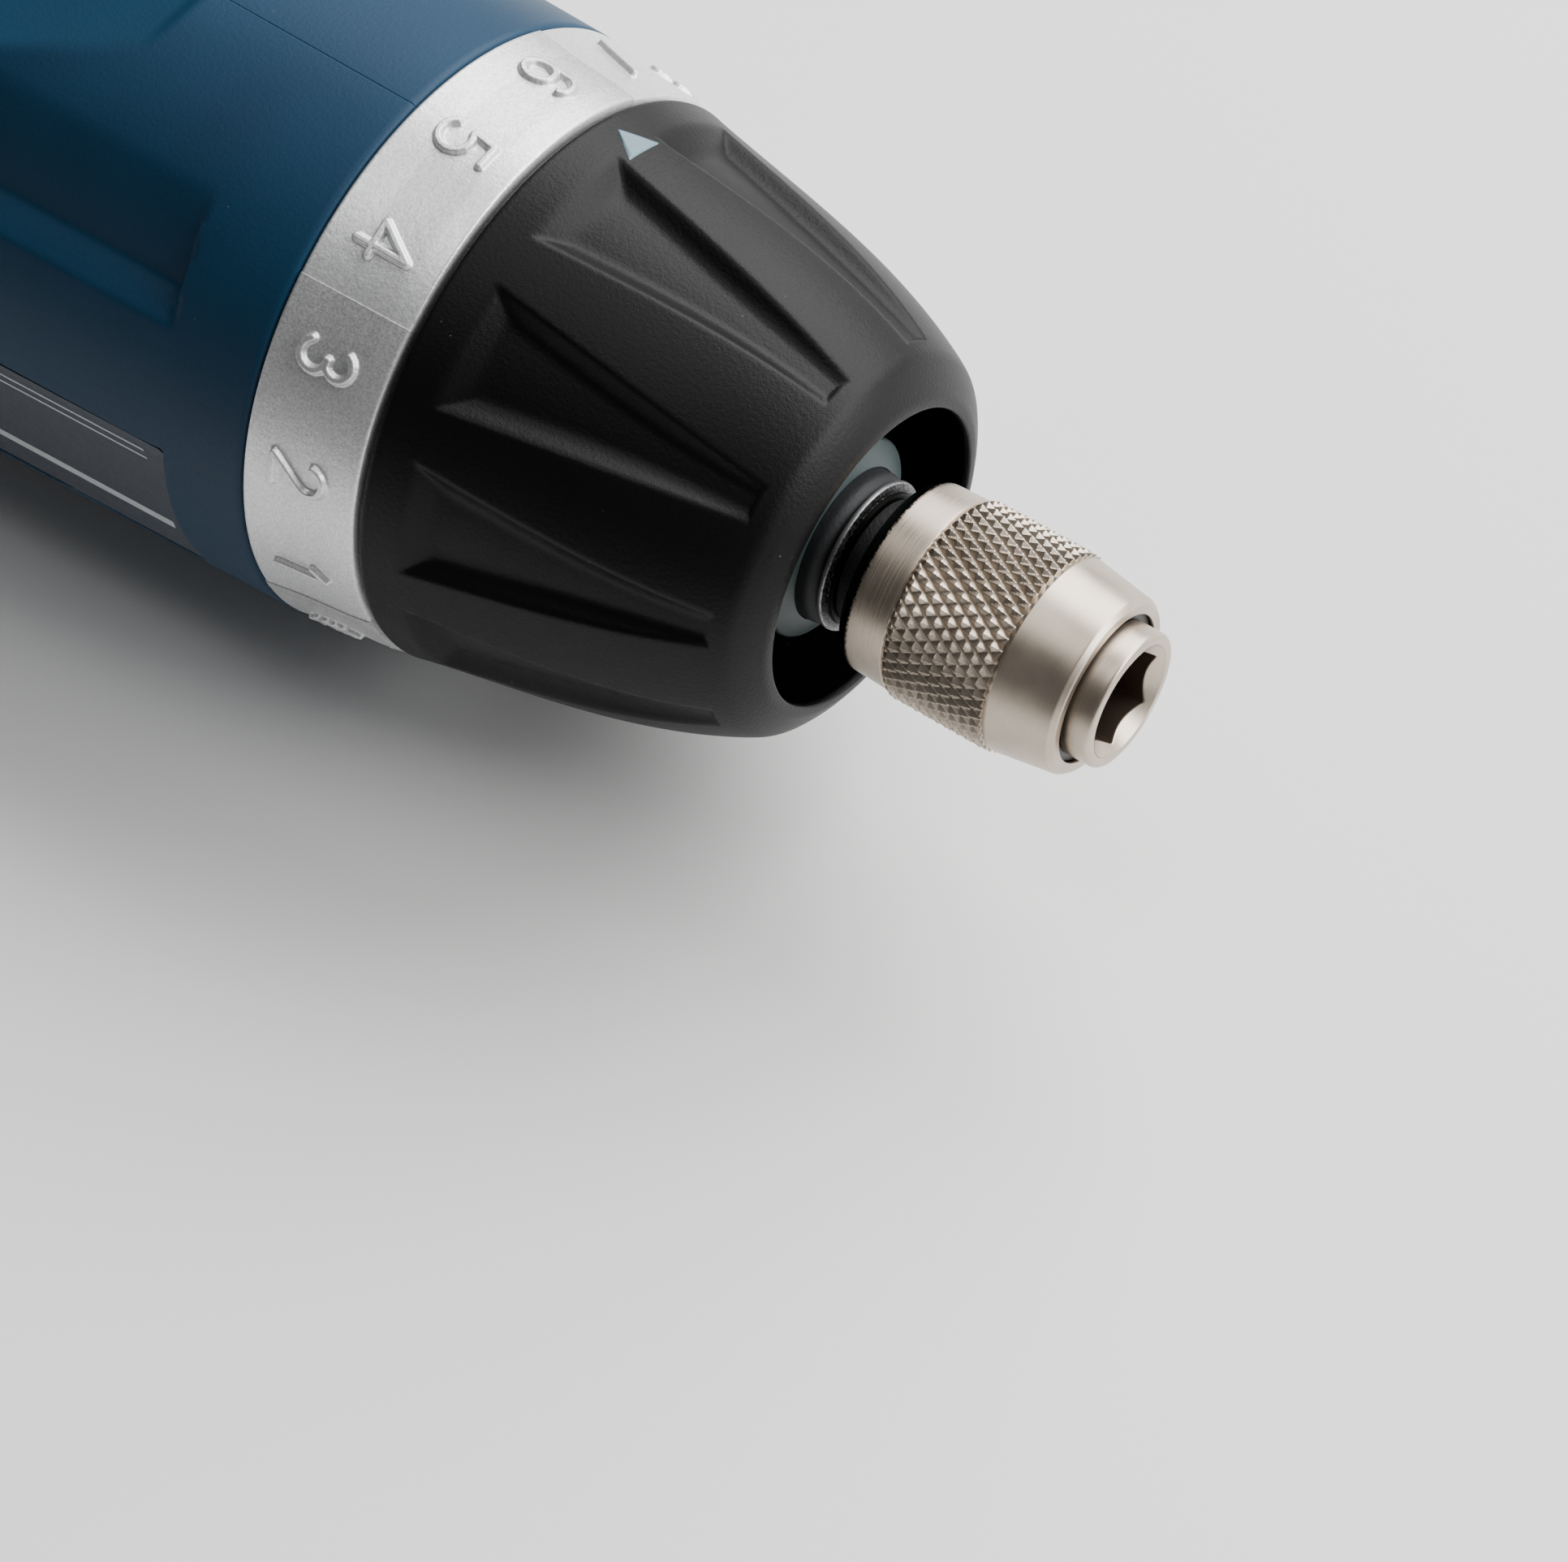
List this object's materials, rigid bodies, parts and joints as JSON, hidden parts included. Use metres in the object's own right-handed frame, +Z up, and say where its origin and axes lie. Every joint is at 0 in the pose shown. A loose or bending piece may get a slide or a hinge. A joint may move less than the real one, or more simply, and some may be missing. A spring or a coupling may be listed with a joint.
{
  "type": "cordless inline screwdriver",
  "caption": "Straight battery screwdriver with a rocker switch, a numbered torque collar and a knurled quick-change chuck that takes hexagon bits.",
  "frame": {"origin": "on the drive axis, in the plane of the bit socket's mouth", "axes": "+X along the drive axis out of the chuck, +Z up through the casing's seam and rocker, +Y to the tool's left as the chuck points away"},
  "size_m": [0.2121, 0.0485, 0.0464],
  "materials": {
    "casing_plastic": "satin, fine grain",
    "silver_ring": "satin silver, fine grain",
    "collar_black": "grained",
    "pointer_pale": "smooth",
    "pale_plastic": "smooth moulded",
    "dark_bush": "turned",
    "nickel": "satin nickel",
    "dark_steel": "blackened",
    "bright_steel": "ground",
    "spring_steel": "drawn wire",
    "grip_rubber": "ribbed",
    "slate_plate": "printed, blank",
    "switch_black": "fine grain",
    "board_green": "lacquered",
    "copper": "enamelled",
    "brass": "turned",
    "cell_wrap": "shrink wrap",
    "iron_dark": "sintered",
    "light_pipe": "frosted",
    "lead_red": "insulated"
  },
  "bodies": {
    "casing": {"housing_left": "casing_plastic", "housing_right": "casing_plastic", "housing_screws": "dark_steel", "number_ring": "silver_ring", "rating_plate": "slate_plate", "grip_left": "grip_rubber", "grip_right": "grip_rubber", "tail_cap": "collar_black", "charge_socket": "switch_black", "charge_light": "light_pipe", "rocker_pin": "bright_steel", "control_board": "board_green", "push_switches": "switch_black", "battery_cell": "cell_wrap", "battery_tabs": "bright_steel", "leads": "lead_red", "motor_can": "bright_steel", "motor_end_cap": "switch_black", "motor_magnets": "iron_dark", "motor_bushes": "brass", "motor_brushes": "iron_dark", "motor_terminals": "brass", "motor_plate": "bright_steel", "motor_screws": "bright_steel", "gear_case": "pale_plastic", "ring_gear_fixed": "iron_dark", "ring_gear_clutch": "iron_dark", "clutch_balls": "bright_steel", "clutch_washer": "bright_steel", "clutch_spring": "spring_steel", "click_spring": "spring_steel", "collar_clip": "spring_steel", "spindle_bush": "dark_bush"},
    "rotor": {"rotor_core": "iron_dark", "rotor_windings": "copper", "rotor_shaft": "bright_steel", "commutator": "copper", "motor_pinion": "brass"},
    "first_carrier": {"carrier_first": "iron_dark", "carrier_pins_first": "bright_steel"},
    "spindle": {"spindle": "dark_steel", "carrier_second": "iron_dark", "carrier_pins_second": "bright_steel", "retaining_ring": "bright_steel", "chuck_body": "nickel", "chuck_ball": "bright_steel", "chuck_snap_ring": "dark_steel", "bit_magnet": "iron_dark", "chuck_spring": "spring_steel"},
    "sleeve": {"chuck_sleeve": "nickel"},
    "collar": {"torque_collar": "collar_black", "collar_pointer": "pointer_pale"},
    "nut": {"clutch_nut": "pale_plastic"},
    "rocker": {"rocker": "switch_black"},
    "planet_a1": {"planet_a1": "iron_dark"},
    "planet_a2": {"planet_a2": "iron_dark"},
    "planet_a3": {"planet_a3": "iron_dark"},
    "planet_b1": {"planet_b1": "iron_dark"},
    "planet_b2": {"planet_b2": "iron_dark"},
    "planet_b3": {"planet_b3": "iron_dark"}
  },
  "joints": [
    {"name": "rotor_spin", "type": "hinge", "parent": "casing", "child": "rotor", "pos_m": [-0.09, 0, 0], "axis": [1, 0, 0], "continuous": true},
    {"name": "first_carrier_spin", "type": "hinge", "parent": "casing", "child": "first_carrier", "pos_m": [-0.065, 0, 0], "axis": [1, 0, 0], "continuous": true},
    {"name": "spindle_spin", "type": "hinge", "parent": "casing", "child": "spindle", "pos_m": [-0.03, 0, 0], "axis": [1, 0, 0], "continuous": true},
    {"name": "planet_a1_spin", "type": "hinge", "parent": "first_carrier", "child": "planet_a1", "pos_m": [-0.069, 0, 0.00825], "axis": [1, 0, 0], "continuous": true},
    {"name": "planet_a2_spin", "type": "hinge", "parent": "first_carrier", "child": "planet_a2", "pos_m": [-0.069, -0.00714, -0.00413], "axis": [1, 0, 0], "continuous": true},
    {"name": "planet_a3_spin", "type": "hinge", "parent": "first_carrier", "child": "planet_a3", "pos_m": [-0.069, 0.00714, -0.00413], "axis": [1, 0, 0], "continuous": true},
    {"name": "planet_b1_spin", "type": "hinge", "parent": "spindle", "child": "planet_b1", "pos_m": [-0.0603, 0, 0.00825], "axis": [1, 0, 0], "continuous": true},
    {"name": "planet_b2_spin", "type": "hinge", "parent": "spindle", "child": "planet_b2", "pos_m": [-0.0603, -0.00714, -0.00413], "axis": [1, 0, 0], "continuous": true},
    {"name": "planet_b3_spin", "type": "hinge", "parent": "spindle", "child": "planet_b3", "pos_m": [-0.0603, 0.00714, -0.00413], "axis": [1, 0, 0], "continuous": true},
    {"name": "sleeve_slide", "type": "slide", "parent": "spindle", "child": "sleeve", "axis": [1, 0, 0], "range_m": [-0.002, 0], "stiffness_N_per_m": 1000, "springref_m": 0.003, "deforming": ["chuck_spring"]},
    {"name": "collar_turn", "type": "hinge", "parent": "casing", "child": "collar", "pos_m": [-0.034, 0, 0], "axis": [1, 0, 0], "range_deg": [-225, 112.5]},
    {"name": "nut_travel", "type": "slide", "parent": "collar", "child": "nut", "axis": [1, 0, 0], "range_m": [-0.00151, 0.00076], "deforming": ["clutch_spring"]},
    {"name": "rocker_tilt", "type": "hinge", "parent": "casing", "child": "rocker", "pos_m": [-0.1061, 0, 0.0194], "axis": [0, 1, 0], "range_deg": [-3.2, 3.2], "stiffness_Nm_per_rad": 0.12}
  ],
  "couplings": [
    {"joint": "first_carrier_spin", "follows": "rotor_spin", "ratio": 0.18182},
    {"joint": "spindle_spin", "follows": "rotor_spin", "ratio": 0.033058},
    {"joint": "planet_a1_spin", "follows": "rotor_spin", "ratio": -0.46753},
    {"joint": "planet_a2_spin", "follows": "rotor_spin", "ratio": -0.46753},
    {"joint": "planet_a3_spin", "follows": "rotor_spin", "ratio": -0.46753},
    {"joint": "planet_b1_spin", "follows": "rotor_spin", "ratio": -0.085006},
    {"joint": "planet_b2_spin", "follows": "rotor_spin", "ratio": -0.085006},
    {"joint": "planet_b3_spin", "follows": "rotor_spin", "ratio": -0.085006},
    {"joint": "nut_travel", "follows": "collar_turn", "m_per_rad": 0.00038197}
  ]
}
